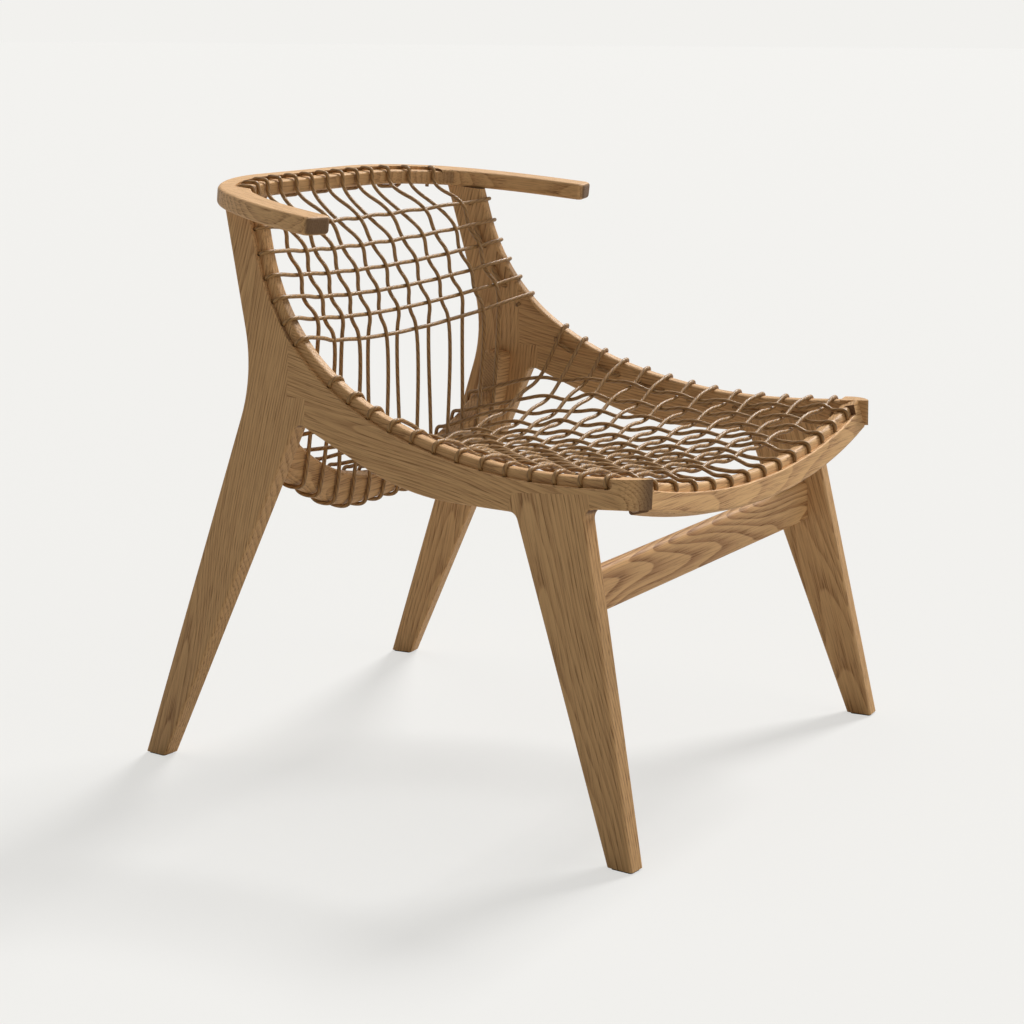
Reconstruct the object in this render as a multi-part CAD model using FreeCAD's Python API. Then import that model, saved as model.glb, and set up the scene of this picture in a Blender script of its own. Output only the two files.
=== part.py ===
import FreeCAD, Part

import math
import os

os.makedirs("parts", exist_ok=True)
Vector = FreeCAD.Vector

# Low open armchair in solid wood, strung with round cord.
# Millimetres and degrees. Z is up, the chair faces -Y, the near side in use is -X.
# The origin lies on the floor under the middle of the chair's length and width.

# Overall stance: both side frames are flat planks that toe in and lean in.
plank_thickness = 22.0
half_stance = 320.0
stance_setback = 335.0
toe_in_angle = 4.69
lean_in_angle = 3.55
edge_round = 3.0
overrun = 30.0

# Legs, as lines in the plane of the plank: where each edge meets the floor, and its rake.
heel_reach = 323.0
rear_foot_width = 29.5
heel_angle = 18.78
shank_angle = 24.94
fore_leg_back_angle = 20.51
fore_foot_advance = 9.0
fore_foot_width = 30.2
fore_leg_front_angle = 12.16
crotch_round = 11.0
glide_thickness = 2.0
glide_inset = 2.5
glide_round = 3.0

# The line of the seat and back: one ledge that runs from the nose to the crest.
dip_reach = 217.0
dip_height = 381.0
front_radius = 1100.0
front_fall_angle = 3.5
seat_radius = 627.0
seat_turn_angle = 17.8
haunch_radius = 377.0
haunch_turn_angle = 16.2
back_radius = 236.0
back_turn_angle = 41.9
post_overrun = 22.0
post_width = 34.3
waist_radius = 175.0

# Underside of the side rail.
rail_depth = 33.2
belly_radius = 330.0
belly_angle = 22.05
haunch_reach = 97.0
haunch_lift = 59.7
nose_reach = 342.0
nose_drop = 13.5
nose_angle = 5.0
nose_radius = 36.0

# The raised bead that the cords wrap, and the ledge outside it.
bead_height = 10.5
bead_round = 5.0
bead_foot = 6.0
ledge_width = 6.0
ledge_round = 1.5
block_length = 36.0
block_lift = 0.8
block_round = 6.0

# Joint lines inside the side frame.
lap_top_reach = 116.5
lap_lift = 56.0
lap_back_reach = 91.5
saddle_back_inset = 156.0
saddle_back_lift = 20.2
saddle_front_inset = 61.0
saddle_front_lift = 29.2

# Crest and arms: a flat horseshoe that slopes down towards the front.
arm_to_post = 124.79
arm_tip_height = 636.0
crest_slope_angle = 6.3
crest_reach = 231.0
crest_bend_margin = 235.0
crest_width = 37.0
crest_thickness = 20.0
crest_radius = 215.0
crest_turn_angle = 35.0
shoulder_radius = 150.0
shoulder_turn_angle = 21.0
arm_radius = 330.0
arm_turn_angle = 21.0
arm_run = 43.0
tip_round = 9.0
crest_top_round = 4.0
crest_under_round = 5.0
scarf_margin = 88.0
scarf_run = 170.0
scarf_angle = 45.0
crest_bead_width = 13.0
crest_bead_drop = 3.0
crest_bead_margin = 124.0
crest_bead_round = 2.5
crest_groove_depth = 3.0

# Front rail: it sags between the side frames and carries its own bead.
front_rail_advance = 1.5
front_rail_height = 352.0
front_rail_radius = 1130.0
front_rail_depth = 23.0
front_rail_thickness = 24.0
front_rail_lean_angle = 15.0
front_bead_height = 11.0
front_ledge_width = 6.5
front_groove_margin = 62.0

# Rear seat rail: a crescent whose horns climb the side frames.
crescent_setback = 143.0
crescent_height = 307.5
crescent_depth = 30.5
crescent_thickness = 28.0
crescent_lean_angle = 9.0
crescent_hollow_angle = 34.7
crescent_hollow_gap = 10.0
horn_margin = 113.0
horn_height = 424.0
horn_round = 12.0
horn_foot_round = 12.0
horn_pin_shares = (0.6, 1.9)
crescent_under_radius = 190.0
crescent_under_margin = 215.0
crescent_under_angle = 26.0
crescent_end_margin = 99.0
crescent_end_angle = 49.0
crescent_foot_round = 30.0
crescent_round = 6.5
crescent_belly_round = 15.0

# Front stretcher, tenoned into the front legs.
stretcher_inset = 82.0
stretcher_height = 265.0
stretcher_depth = 48.0
stretcher_thickness = 19.0
stretcher_round = 7.0
tenon_depth = 30.0
tenon_thickness = 9.0
tenon_length = 14.0
tenon_round = 3.0

# Dowels that hold the frame together, hidden in the joints.
dowel_radius = 4.0
dowel_length = 36.0
dowel_fit = 0.1
short_dowel_share = 0.7
saddle_pin_shares = (1.5, 2.5)

# Cord.
cord_radius = 2.2
hole_fit = 0.4
cord_gap = 0.3
seat_rows = 13
back_rows = 6
row_start = 45.0
row_pitch_share = 0.052375
knee_gap_share = 0.291
crest_gap_share = 0.0814
hole_rise = 1.0
hole_fall = 7.0
long_cords = 13
front_cord_margin = 77.0
rear_cord_margin = 122.0
crest_cord_margin = 134.0
web_front_height = 366.0
web_rear_height = 351.0
web_drift_share = 0.17
corner_drift_share = 0.27
corner_knee_shares = (0.582, 0.507, 0.434)
corner_power = 2.7
back_pull = 48.0
back_pull_shares = (1.0, 0.71, 0.52, 0.44, 0.49, 0.85)
back_sink = 24.0
back_sink_shares = (1.0, 0.71, 0.62, 0.52, 0.44, 0.35)
wrap_gap = 0.8
loop_round = 3.6
loop_gap = 0.6
bend_share = 0.45
hole_bend_share = 0.75
seat_lift_share = 0.5
back_lift_share = 0.35

# Worked out from the sizes above: places that follow the nose, the dip of the seat and the
# stance, and the spacing of the long cords.
fore_leg_front_reach = nose_reach + fore_foot_advance
block_reach = nose_reach - block_length
saddle_front = nose_reach - saddle_front_inset
saddle_back = nose_reach - saddle_back_inset
front_rail_setback = -nose_reach - front_rail_advance
stretcher_setback = stretcher_inset - nose_reach
belly_height = dip_height - rail_depth
haunch_height = belly_height + haunch_lift
nose_height = dip_height - nose_drop
lap_height = dip_height + lap_lift
saddle_back_height = belly_height + saddle_back_lift
saddle_front_height = belly_height + saddle_front_lift
crest_half_straight = half_stance - crest_bend_margin
scarf_reach = half_stance - scarf_margin
crest_bead_reach = half_stance - crest_bead_margin
front_groove_reach = half_stance - front_groove_margin
horn_reach = half_stance - horn_margin
crescent_under_reach = half_stance - crescent_under_margin
crescent_end_reach = half_stance - crescent_end_margin
crescent_hollow_radius = (horn_reach - crescent_hollow_gap) / math.sin(math.radians(crescent_hollow_angle))
horn_rise = (horn_height - crescent_height) / math.cos(math.radians(crescent_lean_angle))
front_pitch = 2 * (half_stance - front_cord_margin) / (long_cords - 1)
rear_pitch = 2 * (half_stance - rear_cord_margin) / (long_cords - 1)
crest_pitch = 2 * (half_stance - crest_cord_margin) / (long_cords - 1)


def heading(angle):
    """Unit vector in a flat drawing, turned by an angle from the first axis."""
    return Vector(math.cos(math.radians(angle)), math.sin(math.radians(angle)), 0)


def meet(first, first_angle, second, second_angle):
    """Where two lines of a flat drawing cross."""
    one, two = heading(first_angle), heading(second_angle)
    cross = one.x * two.y - one.y * two.x
    gap = second - first
    return first + one * ((gap.x * two.y - gap.y * two.x) / cross)


def at_height(line, height):
    """Point of a line at a height of the drawing."""
    return meet(line[0], line[1], Vector(0, height, 0), 0)


def corner_arc(before, corner, after, radius):
    """Start, middle and end of the arc that rounds one corner."""
    back, ahead = (before - corner).normalize(), (after - corner).normalize()
    half = back.getAngle(ahead) / 2
    reach = radius / math.tan(half)
    inward = (back + ahead).normalize()
    middle = corner + inward * (radius / math.sin(half) - radius)
    return corner + back * reach, middle, corner + ahead * reach


def rounded_edges(corners, closed=True):
    """Straight runs and tangent arcs through a list of (corner, radius)."""
    count = len(corners)
    ends = []
    for index, (corner, radius) in enumerate(corners):
        inner = closed or 0 < index < count - 1
        if inner and radius > 0:
            ends.append(corner_arc(corners[index - 1][0], corner, corners[(index + 1) % count][0], radius))
        else:
            ends.append((corner, None, corner))
    edges = []
    for index, (start, middle, end) in enumerate(ends):
        if index or closed:
            last = ends[index - 1][2]
            if last.distanceToPoint(start) > hair:
                edges.append(Part.LineSegment(last, start).toShape())
            else:
                start = last
        if middle is not None:
            edges.append(Part.Arc(start, middle, end).toShape())
    return edges


def plate(corners, thickness):
    """Flat plate whose outline is a list of (corner, radius), from the drawing towards +Z."""
    wire = Part.Wire(rounded_edges(corners))
    return Part.Face(wire).extrude(Vector(0, 0, thickness))


def box(low, high):
    """Box between two opposite corners."""
    size = high - low
    return Part.makeBox(size.x, size.y, size.z, low)


def round_edges(shape, radius, wanted):
    """Round the edges that a test picks."""
    picked = [edge for edge in shape.Edges if wanted(edge)]
    return shape.makeFillet(radius, picked) if picked else shape


def middle_of(edge):
    """Point half way along an edge."""
    return edge.valueAt((edge.FirstParameter + edge.LastParameter) / 2)


hair = edge_round / 3000


def side_matrix():
    """Plank drawing to chair: X rearward along the plank, Y up it, Z from outer to inner face."""
    toe, lean = math.tan(math.radians(toe_in_angle)), math.tan(math.radians(lean_in_angle))
    inward = Vector(1, -toe, -lean).normalize()
    along = Vector(toe, 1, 0).normalize()
    up = inward.cross(along)
    start = Vector(toe * stance_setback - half_stance, 0, 0)
    return FreeCAD.Matrix(along.x, up.x, inward.x, start.x,
                          along.y, up.y, inward.y, start.y,
                          along.z, up.z, inward.z, start.z, 0, 0, 0, 1)


side = side_matrix()


def on_side(shape):
    """Put a shape of the plank drawing in its place on the chair."""
    return shape.transformed(side, True)


def mirrored(shape):
    return shape.mirror(Vector(0, 0, 0), Vector(1, 0, 0))


def bends():
    """Radius and turn of each arc of the ledge line, from the front."""
    return ((front_radius, front_fall_angle), (seat_radius, seat_turn_angle),
            (haunch_radius, haunch_turn_angle), (back_radius, back_turn_angle))


def ledge_start():
    """Front end of the ledge line and the straight run before its first arc."""
    reach = front_radius * math.tan(math.radians(front_fall_angle / 2))
    corner = Vector(-dip_reach - reach, dip_height, 0)
    start = meet(corner, -front_fall_angle, Vector(-nose_reach, 0, 0), 90)
    return start, (corner - start).Length - reach


def arcs_end():
    """Distance along the ledge line at which its last arc ends."""
    place, run = ledge_start()
    return run + sum(radius * math.radians(turn) for radius, turn in bends())


def ledge_corners(height):
    """Corners of the ledge line, raised square to it, from the nose to above the crest."""
    place, run = ledge_start()
    angle = -front_fall_angle
    place = place + heading(angle + 90) * height
    corners = [(place, 0)]
    place = place + heading(angle) * run
    for radius, turn in bends():
        reach = (radius - height) * math.tan(math.radians(turn / 2))
        corner = place + heading(angle) * reach
        angle += turn
        place = corner + heading(angle) * reach
        corners.append((corner, radius - height))
    run = crest_distance + post_overrun - arcs_end()
    corners.append((place + heading(angle) * run, 0))
    return corners


def ledge_point(distance, height):
    """Point at a distance along the ledge from the nose, raised square to it, and its angle."""
    place, run = ledge_start()
    angle = -front_fall_angle
    step = min(distance, run)
    place = place + heading(angle) * step
    distance -= step
    for radius, turn in bends():
        part = min(math.degrees(distance / radius), turn)
        centre = place + heading(angle + 90) * radius
        angle += part
        place = centre + heading(angle - 90) * radius
        distance -= radius * math.radians(part)
    return place + heading(angle) * distance + heading(angle + 90) * height, angle


def leg_line(reach, rake):
    return Vector(reach, 0, 0), 90 + rake


def frame_outline():
    """Outline of one side frame, below the bead: legs, rail, post and nose block."""
    ledge = ledge_corners(0)
    block = ledge_corners(bead_height + block_lift)
    heel = leg_line(heel_reach, heel_angle)
    shank = leg_line(heel_reach - rear_foot_width, shank_angle)
    fore_back = leg_line(fore_foot_width - fore_leg_front_reach, -fore_leg_back_angle)
    fore_front = leg_line(-fore_leg_front_reach, -fore_leg_front_angle)
    top, lean = ledge[-1][0], seat_turn_angle + haunch_turn_angle + back_turn_angle
    post = (top + heading(lean - 90) * post_width, lean)
    haunch = (Vector(haunch_reach, haunch_height, 0), belly_angle)
    nose = (Vector(-nose_reach, nose_height, 0), -nose_angle)
    block_end = Vector(-block_reach, 0, 0)
    nose_top = meet(block[0][0], -front_fall_angle, Vector(-nose_reach, 0, 0), 90)
    step_top = meet(block[0][0], -front_fall_angle, block_end, 90)
    step_foot = meet(ledge[0][0], -front_fall_angle, block_end, 90)
    corners = [(nose_top, 0), (step_top, 0), (step_foot, block_round)] + ledge[1:]
    corners += [(post[0], 0), (meet(*post, *heel), waist_radius), (at_height(heel, -overrun), 0)]
    corners += [(at_height(shank, -overrun), 0), (meet(*shank, *haunch), crotch_round)]
    corners += [(meet(*haunch, Vector(0, belly_height, 0), 0), belly_radius)]
    corners += [(at_height(fore_back, belly_height), crotch_round), (at_height(fore_back, -overrun), 0)]
    corners += [(at_height(fore_front, -overrun), 0), (meet(*fore_front, *nose), crotch_round)]
    corners += [(nose[0], 0)]
    return corners


def ledge_wire(height):
    return Part.Wire(rounded_edges(ledge_corners(height), closed=False))


def follows(wire, edge):
    """Whether an edge of a plate runs along a line of its drawing, on either face."""
    place = middle_of(edge)
    flat = Part.Vertex(place.x, place.y, 0)
    level = abs(edge.Vertexes[0].Z - edge.Vertexes[-1].Z) < hair
    return level and wire.distToShape(flat)[0] < hair


def bead_plate():
    """The rounded bead that stands on the plank inside the ledge."""
    crown, foot = ledge_corners(bead_height), ledge_corners(-bead_foot)
    end = Vector(-block_reach - bead_foot, 0, 0)
    crown[0] = (meet(crown[0][0], -front_fall_angle, end, 90), 0)
    foot[0] = (meet(foot[0][0], -front_fall_angle, end, 90), 0)
    bead = plate(crown + foot[::-1], plank_thickness - ledge_width)
    wire = ledge_wire(bead_height)
    bead = round_edges(bead, bead_round, lambda edge: follows(wire, edge))
    return bead.translated(Vector(0, 0, ledge_width))


def nose_waste():
    """What is taken off the outer front corner of the plank to round it."""
    centre = nose_reach - math.sqrt(nose_radius ** 2 - (nose_radius - plank_thickness) ** 2)
    low = Vector(-nose_reach - overrun, nose_height - overrun, -overrun)
    corner = box(low, Vector(-centre, dip_height + overrun, nose_radius))
    core = Part.makeCylinder(nose_radius, corner.BoundBox.YLength, Vector(-centre, low.y, nose_radius),
                             Vector(0, 1, 0))
    return corner.cut(core)


def side_frame():
    """One whole side frame in the drawing of its plank, before it is split at its joints."""
    blank = plate(frame_outline(), plank_thickness)
    ledge, crown = ledge_wire(0), ledge_wire(bead_height + block_lift)
    step = Part.makeLine(Vector(-block_reach, dip_height, 0), Vector(-block_reach, dip_height + overrun, 0))

    def at_top(edge):
        place = middle_of(edge)
        near_step = Part.Vertex(place.x, place.y, 0).distToShape(step)[0] < block_round
        return near_step or follows(ledge, edge) or follows(crown, edge)

    def plain(edge):
        level = abs(edge.Vertexes[0].Z - edge.Vertexes[-1].Z) < hair
        at_floor = middle_of(edge).y < hair - overrun
        return level and not at_floor and not at_top(edge)

    blank = round_edges(blank, edge_round, plain)
    blank = round_edges(blank, ledge_round, lambda edge: follows(ledge, edge) and middle_of(edge).z < hair)
    return blank.fuse(bead_plate()).removeSplitter().cut(nose_waste())


def prism(points):
    """A region of the plank drawing, through the whole thickness."""
    face = Part.Face(Part.makePolygon(points + points[:1]))
    return face.translated(Vector(0, 0, -overrun)).extrude(Vector(0, 0, plank_thickness + 2 * overrun))


def post_region():
    top = arm_tip_height + crest_reach
    return prism([Vector(lap_top_reach, top, 0), Vector(lap_top_reach, lap_height, 0),
                  Vector(lap_back_reach, lap_height, 0), Vector(lap_back_reach, -2 * overrun, 0),
                  Vector(heel_reach + overrun, -2 * overrun, 0), Vector(heel_reach + overrun, top, 0)])


def fore_leg_region():
    low, clear = -2 * overrun, belly_height - overrun
    far = -fore_leg_front_reach - overrun
    return prism([Vector(-saddle_back, saddle_back_height, 0), Vector(-saddle_back + crotch_round, clear, 0),
                  Vector(0, clear, 0), Vector(0, low, 0), Vector(far, low, 0), Vector(far, belly_height, 0),
                  Vector(-saddle_front, belly_height, 0), Vector(-saddle_front, saddle_front_height, 0)])


def row_pitch():
    """Spacing of the seat rows along the ledge."""
    return row_pitch_share * (crest_distance - row_start)


def row_place(row):
    """Distance along the ledge of one cord row, counted from the front."""
    if row < seat_rows:
        return row_start + row * row_pitch()
    last = row_start + (seat_rows - 1) * row_pitch()
    run = crest_distance - last
    share = (row - seat_rows) / (back_rows - 1)
    return last + run * (knee_gap_share + (1 - knee_gap_share - crest_gap_share) * share)


def row_point(row, depth, height):
    """Point of the plank drawing at a cord row: depth in from the outer face, height above the ledge."""
    place, angle = ledge_point(row_place(row), height)
    return Vector(place.x, place.y, depth)


def hole_height(depth):
    """Height of a cord hole's centre above the ledge: it falls towards the inner face."""
    return hole_rise - hole_fall * (depth - ledge_width) / (plank_thickness - ledge_width)


def side_holes():
    """Cord holes of one side frame, from the ledge to the inner face."""
    holes = []
    for row in range(seat_rows + back_rows):
        start = row_point(row, 0, hole_height(0))
        end = row_point(row, plank_thickness + overrun, hole_height(plank_thickness + overrun))
        holes.append(Part.makeCylinder(cord_radius + hole_fit, (end - start).Length, start, end - start))
    return holes


def floor_waste():
    reach = heel_reach + 2 * overrun
    wide = half_stance + overrun
    return box(Vector(-wide, -reach - overrun, -3 * overrun), Vector(wide, reach, glide_thickness))


def post_top():
    """Distance along the ledge line at which a post meets the crest's underside, and its setback."""
    slope = math.radians(crest_slope_angle)
    height = arm_tip_height + arm_to_post * math.tan(slope) - crest_thickness / math.cos(slope)
    start, ends = arcs_end(), []
    for distance in (start, start + post_width):
        place, angle = ledge_point(distance, 0)
        ends.append(side.multVec(Vector(place.x, place.y, plank_thickness)))
    share = (height - ends[0].z) / (ends[1].z - ends[0].z)
    return start + share * post_width, ends[0].y + share * (ends[1].y - ends[0].y)


crest_distance, post_setback = post_top()
arm_tip_setback = post_setback - arm_to_post


def crest_matrix():
    """Crest drawing to chair: X across, Y rearward up the slope from the arm tips, Z off its top."""
    slope = math.radians(crest_slope_angle)
    return FreeCAD.Matrix(1, 0, 0, 0,
                          0, math.cos(slope), -math.sin(slope), arm_tip_setback,
                          0, math.sin(slope), math.cos(slope), arm_tip_height, 0, 0, 0, 1)


crest_place = crest_matrix()


def crest_half(inset):
    """Corners of one half of the horseshoe, from the middle to the arm tip, inset from its outer edge."""
    back = crest_reach / math.cos(math.radians(crest_slope_angle))
    place = Vector(crest_half_straight, back - inset, 0)
    angle = 0
    corners = []
    arcs = ((crest_radius, crest_turn_angle), (shoulder_radius, shoulder_turn_angle),
            (arm_radius, arm_turn_angle))
    for radius, turn in arcs:
        reach = (radius - inset) * math.tan(math.radians(turn / 2))
        corner = place + heading(angle) * reach
        angle -= turn
        place = corner + heading(angle) * reach
        corners.append((corner, radius - inset))
    return corners + [(place + heading(angle) * arm_run, tip_round)]


def across(corners):
    return [(Vector(-corner.x, corner.y, corner.z), radius) for corner, radius in corners]


def horseshoe():
    """Crest and arms as one piece, before the scarf joints are cut."""
    outer, inner = crest_half(0), crest_half(crest_width)
    corners = across(outer)[::-1] + outer + inner[::-1] + across(inner)
    body = plate(corners, crest_thickness).translated(Vector(0, 0, -crest_thickness))
    body = round_edges(body, crest_top_round, lambda edge: edge.BoundBox.ZMin > -hair)
    return round_edges(body, crest_under_round, lambda edge: edge.BoundBox.ZMax < hair - crest_thickness)


def crest_strip(inner, outer, low, high):
    """Part of the crest's band between two insets and two levels, as long as its bead."""
    near, far = crest_half(inner), crest_half(outer)
    ends = [near[0], (near[1][0], 0)], [far[0], (far[1][0], 0)]
    corners = across(ends[0])[::-1] + ends[0] + ends[1][::-1] + across(ends[1])
    strip = plate(corners, high - low).translated(Vector(0, 0, low))
    reach = crest_bead_reach
    limit = box(Vector(-reach, 0, -overrun), Vector(reach, crest_reach, overrun))
    return strip.common(limit)


def crest_point(across_reach, inset):
    """Point of the crest drawing at a cord, square to the inner edge, and the outward direction."""
    side_sign = 1 if across_reach >= 0 else -1
    back = crest_reach / math.cos(math.radians(crest_slope_angle))
    beyond = abs(across_reach) - crest_half_straight
    if beyond <= 0:
        return Vector(across_reach, back - inset, 0)
    turn = math.asin(beyond / (crest_radius - crest_width))
    radius = crest_radius - inset
    return Vector(side_sign * (crest_half_straight + radius * math.sin(turn)),
                  back - crest_radius + radius * math.cos(turn), 0)


def scarf_start():
    """Point of one scarf joint in the crest drawing."""
    return Vector(scarf_reach, scarf_run / math.cos(math.radians(crest_slope_angle)), 0)


def scarf_region():
    """Everything in front of and outside one scarf joint, in the crest drawing."""
    line, start = heading(scarf_angle), scarf_start()
    away = heading(scarf_angle - 90)
    reach = 2 * crest_reach
    points = [start - line * reach, start + line * reach, start + (line + away) * reach,
              start + (away - line) * reach]
    face = Part.Face(Part.makePolygon(points + points[:1]))
    region = face.translated(Vector(0, 0, -crest_reach)).extrude(Vector(0, 0, 2 * crest_reach))
    half = box(Vector(0, -reach, -crest_reach), Vector(2 * reach, reach, crest_reach))
    return region.common(half)


def crest_groove_inset():
    return crest_width - crest_bead_width - cord_radius - cord_gap


def crest_body():
    """Crest and arms with the groove and the low bead that the cords wrap."""
    edge = crest_width - crest_bead_width
    groove = edge - 2 * (edge - crest_groove_inset())
    floor = -crest_bead_drop - crest_groove_depth
    body = horseshoe().cut(crest_strip(groove, crest_width + crest_bead_width, floor, overrun))
    bead = crest_strip(edge, crest_width, -crest_thickness / 2, -crest_bead_drop)

    def long_top(line):
        limits = line.BoundBox
        return abs(middle_of(line).x) < crest_bead_reach - hair and limits.ZMin > -crest_bead_drop - hair

    body = body.fuse(round_edges(bead, crest_bead_round, long_top)).removeSplitter()
    return cut_all(body, crest_holes())


def crest_holes():
    holes = []
    for column in columns():
        start = crest_point(column * crest_pitch, crest_groove_inset())
        holes.append(Part.makeCylinder(cord_radius + hole_fit, crest_thickness + 2 * overrun,
                                       start - Vector(0, 0, crest_thickness + overrun)))
    return holes


def columns():
    half = (long_cords - 1) / 2
    return [index - half for index in range(long_cords)]


def above_crest():
    """The space over the underside of the crest, which trims the posts."""
    reach = 2 * half_stance
    return box(Vector(-reach, -reach, -crest_thickness), Vector(reach, reach, reach))


def front_matrix():
    """Front rail drawing to chair: X across, Y up its face, Z rearward through it."""
    lean = math.radians(front_rail_lean_angle)
    return FreeCAD.Matrix(1, 0, 0, 0,
                          0, math.sin(lean), math.cos(lean), front_rail_setback,
                          0, math.cos(lean), -math.sin(lean), front_rail_height, 0, 0, 0, 1)


front_place = front_matrix()


def front_rise_at(reach):
    """Height of the front ledge above its middle."""
    return front_rail_radius - math.sqrt(front_rail_radius ** 2 - reach ** 2)


def sagging(low, high, reach, thickness):
    """Bar that follows the sag of the front rail between two levels."""
    rise = front_rise_at(reach)
    places = (-reach, high), (reach, high), (reach, low), (-reach, low)
    ends = [Vector(place, rise + level, 0) for place, level in places]
    top = Part.Arc(ends[0], Vector(0, high, 0), ends[1]).toShape()
    under = Part.Arc(ends[2], Vector(0, low, 0), ends[3]).toShape()
    wire = Part.Wire([top, Part.makeLine(ends[1], ends[2]), under, Part.makeLine(ends[3], ends[0])])
    return Part.Face(wire).extrude(Vector(0, 0, thickness))


def front_rail():
    reach = half_stance
    body = sagging(-front_rail_depth, 0, reach, front_rail_thickness)

    def long_edges(solid):
        return [(edge, middle_of(edge)) for edge in solid.Edges if edge.BoundBox.XLength > reach]

    under = [edge for edge, place in long_edges(body) if place.y < -hair]
    body = body.makeFillet(edge_round, under)
    ledge = [edge for edge, place in long_edges(body) if abs(place.y) < hair and place.z < hair]
    body = body.makeFillet(ledge_round, ledge)
    bead = sagging(-bead_foot, front_bead_height, reach, front_rail_thickness - front_ledge_width)
    bead = bead.makeFillet(bead_round, [edge for edge, place in long_edges(bead) if place.y > hair])
    return body.fuse(bead.translated(Vector(0, 0, front_ledge_width))).removeSplitter()


def front_ends():
    """Blocks that fill the front groove beyond its two ends."""
    bar = sagging(-bead_foot, front_bead_height + block_lift, half_stance, front_ledge_width + bead_round)
    gap = box(Vector(-front_groove_reach, -overrun, -overrun),
              Vector(front_groove_reach, dip_height, front_rail_thickness))
    return bar.cut(gap)


def front_hole_height(depth):
    return hole_rise - hole_fall * (depth - front_ledge_width) / (front_rail_thickness - front_ledge_width)


def front_point(reach, depth, height):
    return Vector(reach, front_rise_at(reach) + height, depth)


def front_holes():
    holes = []
    for column in columns():
        reach = column * front_pitch
        far = front_rail_thickness + overrun
        start = front_point(reach, 0, front_hole_height(0))
        end = front_point(reach, far, front_hole_height(far))
        holes.append(Part.makeCylinder(cord_radius + hole_fit, (end - start).Length, start, end - start))
    return holes


def crescent_matrix():
    """Crescent drawing to chair: X across, Y up its face, Z rearward through it."""
    lean = math.radians(crescent_lean_angle)
    return FreeCAD.Matrix(1, 0, 0, 0,
                          0, -math.sin(lean), math.cos(lean), crescent_setback,
                          0, math.cos(lean), math.sin(lean), crescent_height, 0, 0, 0, 1)


crescent_place = crescent_matrix()


def crescent_dip():
    """Where the two end tangents of the hollow cross, below its middle."""
    turn = math.radians(crescent_hollow_angle)
    return Vector(0, crescent_hollow_radius * (1 - 1 / math.cos(turn)), 0)


def crescent_rail():
    """Crescent from side frame to side frame, longer than it ends up."""
    edge = Vector(crescent_end_reach + overrun, 0, 0)
    ramp = Vector(crescent_under_reach, -crescent_depth, 0)
    foot = meet(ramp, crescent_under_angle, Vector(crescent_end_reach, 0, 0), 90)
    horn_foot = meet(crescent_dip(), crescent_hollow_angle, Vector(horn_reach, 0, 0), 90)
    top = [(crescent_dip(), crescent_hollow_radius), (horn_foot, horn_foot_round),
           (Vector(horn_reach, horn_rise, 0), horn_round), (Vector(edge.x, horn_rise, 0), 0)]
    end = meet(foot, crescent_end_angle, edge, 90)
    under = [(end, 0), (foot, crescent_foot_round), (ramp, crescent_under_radius)]
    rim, keel = across(top)[:0:-1] + top, under + across(under)[::-1]
    body = plate(rim + keel, crescent_thickness)
    rim_wire, keel_wire = [Part.Wire(rounded_edges(corners, closed=False)) for corners in (rim, keel)]

    def front_keel(line):
        return follows(keel_wire, line) and middle_of(line).z < hair

    def other_edge(line):
        at_back = middle_of(line).z > crescent_thickness - hair
        return follows(rim_wire, line) or at_back and follows(keel_wire, line)

    return round_edges(round_edges(body, crescent_belly_round, front_keel), crescent_round, other_edge)


def over_crescent(reach):
    """Level of a cord that lies in the crescent's hollow, at a distance from the middle."""
    turn = math.radians(crescent_hollow_angle)
    beyond = abs(reach) / crescent_hollow_radius
    if beyond < math.sin(turn):
        turn = math.asin(beyond)
        top = crescent_hollow_radius * (1 - math.cos(turn))
    else:
        top = crescent_dip().y + abs(reach) * math.tan(turn)
    return top + (cord_radius + cord_gap) / math.cos(turn)


def under_crescent(reach):
    """Level of a cord that lies on the crescent's underside, at a distance from the middle."""
    turn = math.radians(crescent_under_angle)
    beyond = abs(reach) - crescent_under_reach + crescent_under_radius * math.tan(turn / 2)
    if beyond < crescent_under_radius * math.sin(turn):
        turn = math.asin(max(beyond, 0) / crescent_under_radius)
        rise = crescent_under_radius * (1 - math.cos(turn))
    else:
        rise = (abs(reach) - crescent_under_reach) * math.tan(turn)
    return rise - crescent_depth - (cord_radius + cord_gap) / math.cos(turn)


def stretcher():
    """Bar between the front legs with a tenon at each end, in its place but for its length."""
    half = Vector(half_stance, stretcher_thickness / 2, stretcher_depth / 2)
    bar = box(-half, half)
    bar = round_edges(bar, stretcher_round, lambda edge: edge.BoundBox.XLength > half_stance)
    return bar.translated(Vector(0, stretcher_setback, stretcher_height))


def tenon(fit):
    half = Vector(half_stance, tenon_thickness / 2 + fit, tenon_depth / 2 + fit)
    bar = box(-half, half)
    bar = round_edges(bar, tenon_round, lambda edge: edge.BoundBox.XLength > half_stance)
    return bar.translated(Vector(0, stretcher_setback, stretcher_height))


def slab(inner_depth):
    """Everything outside a depth of one side frame's plank, in the chair."""
    reach = 3 * half_stance
    return on_side(box(Vector(-reach, -reach, -reach), Vector(reach, reach, inner_depth)))


def between_sides(shape, depth=None):
    """Cut a cross piece off at the inner faces of the side frames."""
    outside = slab(plank_thickness if depth is None else depth)
    return shape.cut(outside).cut(mirrored(outside))


def pin(centre, direction, length=None, fit=0):
    length = dowel_length if length is None else length
    ahead = Vector(direction).normalize()
    grow = length + 2 * fit
    return Part.makeCylinder(dowel_radius + fit, grow, centre - ahead * (grow / 2), ahead)


def lap_pins(fit=0):
    """Two dowels through the upright part of the joint between post and side rail."""
    step = dowel_radius * 4
    places = [Vector(lap_top_reach, lap_height + dowel_radius * 3 + step * index, plank_thickness / 2)
              for index in range(2)]
    return [on_side(pin(place, Vector(1, 0, 0), fit=fit)) for place in places]


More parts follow.
